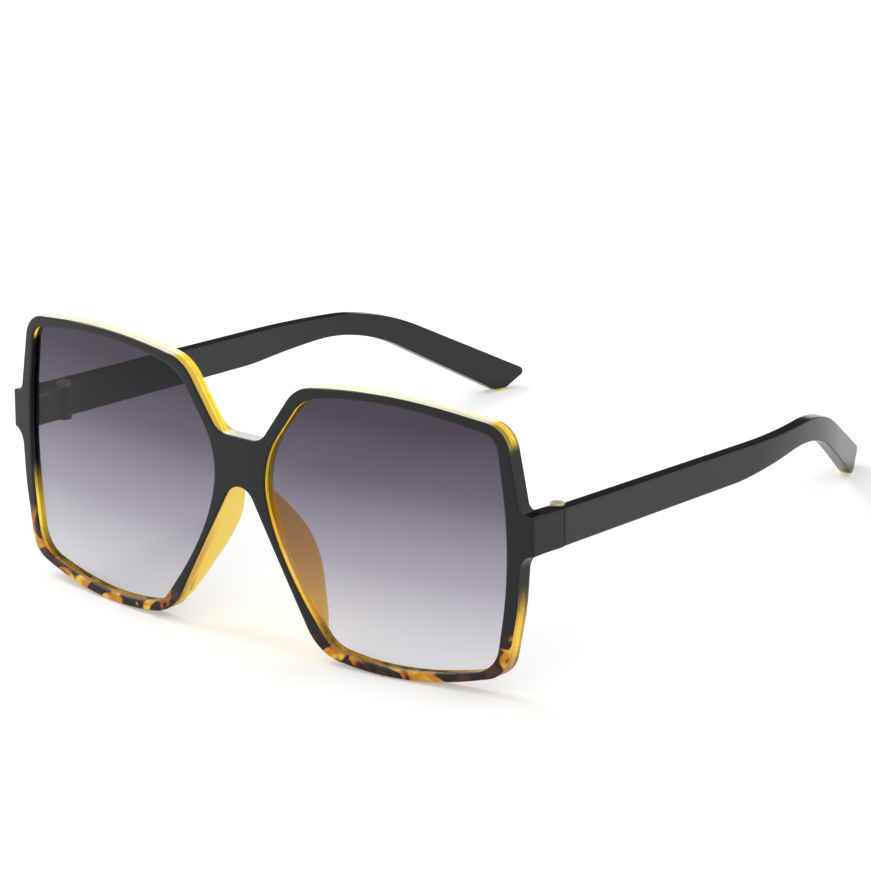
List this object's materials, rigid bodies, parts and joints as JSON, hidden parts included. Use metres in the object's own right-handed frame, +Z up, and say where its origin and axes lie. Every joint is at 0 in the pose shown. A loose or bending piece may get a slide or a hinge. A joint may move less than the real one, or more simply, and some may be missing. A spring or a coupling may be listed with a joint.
{
  "type": "sunglasses",
  "caption": "Oversized squarish sunglasses: one moulded front with nose pads, gradient lenses in grooves and drop-tip temples that fold on small metal hinges.",
  "frame": {"origin": "centre of the bounding box in X and Y, on the floor that the rims and the tips of the temples stand on", "axes": "+X towards the wearer's left temple, +Y from the front back to the ears, +Z up; the lenses face -Y"},
  "size_m": [0.1512, 0.1574, 0.0637],
  "materials": {
    "front": "clear honey plastic, its face printed gloss black that breaks into tortoiseshell at the foot",
    "lens": "tinted clear plastic, dark at the top and pale at the foot",
    "temple": "polished black",
    "leaf": "pale brass plating",
    "screw": "bright"
  },
  "bodies": {
    "front": {"front_frame": "front", "lens_left": "lens", "lens_right": "lens", "front_leaf_left": "leaf", "front_leaf_right": "leaf", "hinge_screw_left": "screw", "hinge_screw_right": "screw", "front_leaf_screws_left": "screw", "front_leaf_screws_right": "screw"},
    "left_temple": {"temple_left": "temple", "temple_leaf_left": "leaf", "temple_leaf_screws_left": "screw"},
    "right_temple": {"temple_right": "temple", "temple_leaf_right": "leaf", "temple_leaf_screws_right": "screw"}
  },
  "joints": [
    {"name": "left_hinge", "type": "hinge", "parent": "front", "child": "left_temple", "pos_m": [0.07165, -0.05531, 0.03561], "axis": [0, 0.0718, 0.9974], "range_deg": [0, 85]},
    {"name": "right_hinge", "type": "hinge", "parent": "front", "child": "right_temple", "pos_m": [-0.07165, -0.05531, 0.03561], "axis": [0, -0.0718, -0.9974], "range_deg": [0, 80]}
  ]
}
